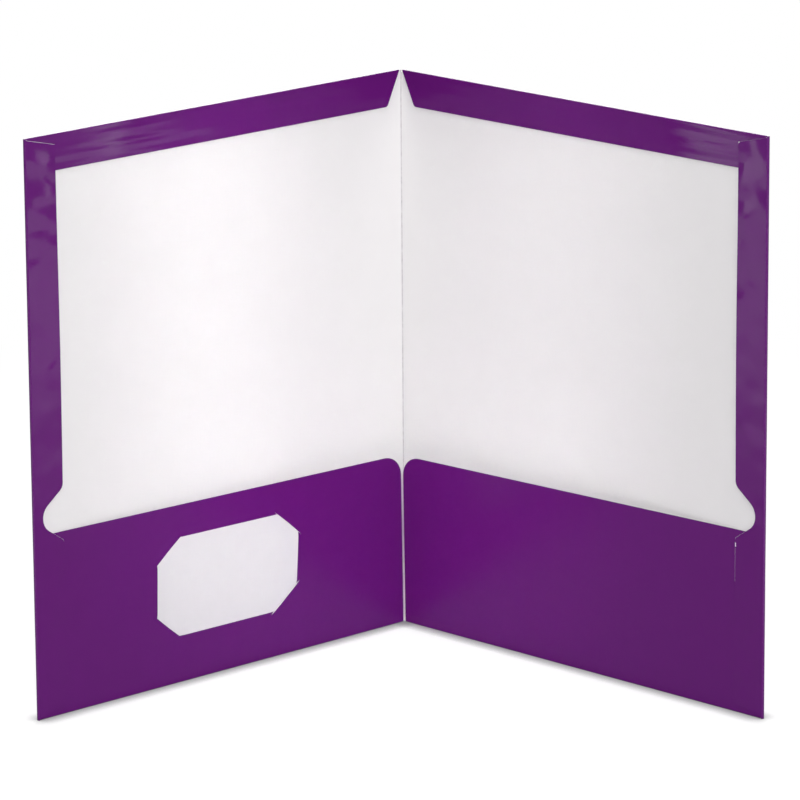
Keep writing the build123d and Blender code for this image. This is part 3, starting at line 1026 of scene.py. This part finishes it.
class FOLDER_OT_pockets(bpy.types.Operator):
    """Build the pockets, which gape at the crease, the left one's slits, and the folds that they stand on"""
    bl_idname = "folder.pockets"
    bl_label = "Pockets"

    def execute(self, context):
        sizes, colours = context.scene.folder_sizes, context.scene.folder_colours
        for half, side in SIDES.items():
            node = half + "_pocket_laminate"
            loops = [split_edges(outlines(node)[0], sizes.pocket_grid)]
            holes = slits() if side < 0 else []
            loops += [slit_loop(hole) for hole in holes]
            points = grid_points(loops, sizes.pocket_grid)
            overs = [sign * row * MM for sign in (-1, 1) for row in SLIT_ROWS]
            shares = [2 * k / (SLIT_ROW_POINTS - 1) - 1 for k in range(SLIT_ROW_POINTS)]
            for hole in holes:
                runs = [hole[3] * share * SLIT_ROW_REACH for share in shares]
                points += slit_points(hole, overs, runs)

            def face_depth(out, up):
                """Depth of the pocket's film, which gapes and has lips beside its slits."""
                lips = sum(slit_lip(sizes, hole, out, up) for hole in holes)
                return POCKET_HIGH[1] + gape(sizes, side, out, up) + lips

            pocket = make_panel(
                half + "_pocket_sheet", side, loops, face_depth, sheet_finish(colours),
                sizes.sheet_thickness, points)
            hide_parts(half + "_pocket", node)
            crease = make_fold(
                half + "_bottom_fold_sheet", side, half + "_bottom_fold", "down",
                sheet_finish(colours, "fold"), sizes.sheet_thickness)
            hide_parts(half + "_bottom_fold")
            for piece in (pocket, crease):
                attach(piece, half + "_half")
            flatten_when_closed(pocket)
        return {"FINISHED"}


class FOLDER_OT_business_card(bpy.types.Operator):
    """Build the blank card, whose corners pass through the slits behind the left pocket"""
    bl_idname = "folder.business_card"
    bl_label = "Business Card"

    def execute(self, context):
        sizes, colours = context.scene.folder_sizes, context.scene.folder_colours
        holes = slits()
        outline = [
            (CARD_LOW[0], CARD_LOW[2]), (CARD_HIGH[0], CARD_LOW[2]),
            (CARD_HIGH[0], CARD_HIGH[2]), (CARD_LOW[0], CARD_HIGH[2])]
        loops = [split_edges(outline, CARD_EDGE_STEP)]
        points = grid_points(loops, CARD_STEP)
        overs = [step * CARD_ROW_STEP for step in CARD_ROWS]
        for hole in holes:
            rows = slit_points(hole, overs, [run * MM for run in CARD_RUNS])
            points += [spot for spot in rows if inside(*spot, loops) and gap_to(*spot, loops) > CARD_ROW_GAP]

        def face_depth(out, up):
            """Depth of the card's face, which follows the pocket and dips through its slits."""
            return POCKET_HIGH[1] + gape(sizes, -1, out, up) + card_face(sizes, holes, out, up)

        finish = [card_material(colours), card_material(colours), core_material(colours)]
        piece = make_panel(
            "business_card_sheet", -1, loops, face_depth, finish, sizes.card_thickness, points)
        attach(piece, "left_half")
        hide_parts("business_card")
        flatten_when_closed(piece)
        return {"FINISHED"}


class FOLDER_OT_glue(bpy.types.Operator):
    """Give the glue films between the flaps their finish"""
    bl_idname = "folder.glue"
    bl_label = "Glue"

    def execute(self, context):
        finish = glue_material(context.scene.folder_colours)
        for half in SIDES:
            for joint in ("top_flap_glue", "corner_glue", "pocket_glue"):
                mesh = frame["nodes"][f"{half}_{joint}"].data
                mesh.materials.clear()
                mesh.materials.append(finish)
        return {"FINISHED"}


class FOLDER_OT_stage(bpy.types.Operator):
    """Lay the white floor, hang the soft lamps and set up the camera"""
    bl_idname = "folder.stage"
    bl_label = "Stage"

    def execute(self, context):
        scene = context.scene
        stage, colours = scene.folder_stage, scene.folder_colours
        scene.view_settings.view_transform = "Standard"
        self.lay_floor(scene, colours)
        self.light_world(scene, stage)
        for lamp in self.lighting_lamps(stage) + self.gloss_lamps(stage):
            self.hang_lamp(scene, *lamp)
        self.set_camera(scene, stage)
        return {"FINISHED"}

    def lighting_lamps(self, stage):
        """Name, power, place, size, aim and spread of each lamp that lights the folder."""
        left, right = Vector((-0.09, -0.005, 0.19)), Vector((0.074, 0.008, 0.18))
        crease = Vector((0.005, 0.07, 0.035))
        return [
            ("key_softbox", stage.key_power, (1.3, -1.7, 1.2), (1.2, 1.0), MIDDLE, OPEN),
            ("front_softbox", stage.front_power, (0.035, -2.4, 1.3), (0.35, 1.2), MIDDLE, OPEN),
            ("top_softbox", stage.top_power, (0.0, -0.5, 1.9), (1.4, 1.4), MIDDLE, OPEN),
            ("back_softbox", stage.back_power, (0.0, 2.2, 1.2), (1.2, 1.0), MIDDLE, OPEN),
            ("left_gridded_strip", stage.left_strip_power, (0.95, -1.5, 0.6), (0.08, 0.3), left, GRIDDED),
            ("right_gridded_strip", stage.right_strip_power, (-0.75, -1.7, 0.6), (0.08, 0.3), right, GRIDDED),
            ("crease_gridded_lamp", stage.crease_power, (-0.06, -1.9, 0.5), (0.12, 0.12), crease, GRIDDED),
        ]

    def gloss_lamps(self, stage):
        """The same for each lamp that only gloss film mirrors."""
        lamps = []
        # Close to the right half, so that the left top flap mirrors them in front of the white inside
        flap = Vector((-0.12, -0.03, 0.277))
        for ahead, level in ((-0.071, 0.8), (-0.053, 0.8), (-0.035, 0.6)):
            strip, power = (0.1, ahead, 0.226), stage.near_strip_power * level
            lamps.append(("near_gloss_strip", power, strip, (0.018, 0.016), flap, OPEN))
        for side, half in ((1, "right"), (-1, "left")):
            strip = (0.62 * side, -0.115, 0.12)
            lamps.append((half + "_gloss_strip", stage.gloss_strip_power, strip, (0.1, 0.08), MIDDLE, OPEN))
            # The panels nearer the folder are dimmer, so the gloss fades out towards the foot of a flap
            for near, far, level in GLOSS_PANELS:
                away = (near + far) / 2
                panel = Vector((side * away, -0.17, 0.002 + PANEL_SLOPE * (away - GLOSS_PANELS[0][0])))
                power = stage.gloss_panel_power * level * (far - near) / PANEL_LENGTH
                upward = panel + Vector((-PANEL_SLOPE * side, 0, 1))
                lamps.append((half + "_gloss_panel", power, panel, (0.26, far - near), upward, OPEN))
        return lamps

    def hang_lamp(self, scene, name, power, spot, size, aim, spread):
        """Rectangular lamp out of the camera's sight, turned towards its aim."""
        lamp = bpy.data.lights.new(name, "AREA")
        lamp.shape = "RECTANGLE"
        lamp.size, lamp.size_y = size
        lamp.energy = power
        lamp.spread = math.radians(spread)
        holder = bpy.data.objects.new(name, lamp)
        holder.location = spot
        holder.rotation_euler = (aim - Vector(spot)).to_track_quat("-Z", "Y").to_euler()
        holder.visible_camera = False
        holder.visible_diffuse = "gloss" not in name
        scene.collection.objects.link(holder)

    def lay_floor(self, scene, colours):
        """Wide sheet of studio paper under the folder."""
        mesh = bpy.data.meshes.new("floor")
        reach = 9.0
        corners = [(-reach, -reach, 0), (reach, -reach, 0), (reach, reach, 0), (-reach, reach, 0)]
        mesh.from_pydata(corners, [], [(0, 1, 2, 3)])
        mesh.materials.append(floor_material(colours))
        floor = bpy.data.objects.new("floor", mesh)
        scene.collection.objects.link(floor)

    def light_world(self, scene, stage):
        """Even light all round, white where the camera or a mirrored ray sees it."""
        world = bpy.data.worlds.new("studio_white")
        world.use_nodes = True
        tree = world.node_tree
        tree.nodes.clear()
        light = add_node(tree, "ShaderNodeBackground", {"Color": (1, 1, 1, 1), "Strength": stage.sky})
        white = add_node(tree, "ShaderNodeBackground", {"Color": (1, 1, 1, 1), "Strength": 1.0})
        mixed = add_node(tree, "ShaderNodeMixShader", {
            0: looked_at(tree), 1: light.outputs[0], 2: white.outputs[0]})
        add_node(tree, "ShaderNodeOutputWorld", {"Surface": mixed.outputs[0]})
        scene.world = world

    def set_camera(self, scene, stage):
        """Long lens in front of the folder, a little above it."""
        data = bpy.data.cameras.new("camera")
        data.sensor_width = 36.0
        data.lens = stage.camera_lens
        data.dof.use_dof = False
        data.clip_end = 50.0
        camera = bpy.data.objects.new("camera", data)
        spot, target = Vector(stage.camera_place), Vector(stage.camera_target)
        look = (target - spot).to_track_quat("-Z", "Y").to_matrix()
        turn = look @ Matrix.Rotation(stage.camera_roll, 3, "Z")
        camera.matrix_world = Matrix.Translation(spot) @ turn.to_4x4()
        scene.collection.objects.link(camera)
        scene.camera = camera


class FOLDER_PT_panel(bpy.types.Panel):
    """Sizes, colours and steps of the folder"""
    bl_idname = "FOLDER_PT_panel"
    bl_label = "Two Pocket Folder"
    bl_space_type = "VIEW_3D"
    bl_region_type = "UI"
    bl_category = "Folder"

    def draw(self, context):
        for group in (context.scene.folder_sizes, context.scene.folder_colours, context.scene.folder_stage):
            box = self.layout.box()
            for name in group.__annotations__:
                box.prop(group, name)
        for step in STEPS:
            self.layout.operator(step.bl_idname)


STEPS = (
    FOLDER_OT_covers, FOLDER_OT_spine, FOLDER_OT_top_flaps, FOLDER_OT_side_flaps, FOLDER_OT_pockets,
    FOLDER_OT_business_card, FOLDER_OT_glue, FOLDER_OT_stage)
GROUPS = {"folder_sizes": FolderSizes, "folder_colours": FolderColours, "folder_stage": FolderStage}


def register():
    for name, group in GROUPS.items():
        bpy.utils.register_class(group)
        setattr(bpy.types.Scene, name, bpy.props.PointerProperty(type=group))
    for step in STEPS + (FOLDER_PT_panel,):
        bpy.utils.register_class(step)


def unregister():
    for step in reversed(STEPS + (FOLDER_PT_panel,)):
        bpy.utils.unregister_class(step)
    for name, group in reversed(GROUPS.items()):
        delattr(bpy.types.Scene, name)
        bpy.utils.unregister_class(group)


def main():
    """Registers the classes and builds every piece in order."""
    register()
    bpy.ops.folder.covers()
    bpy.ops.folder.spine()
    bpy.ops.folder.top_flaps()
    bpy.ops.folder.side_flaps()
    bpy.ops.folder.pockets()
    bpy.ops.folder.business_card()
    bpy.ops.folder.glue()
    bpy.ops.folder.stage()


if __name__ == "__main__":
    main()
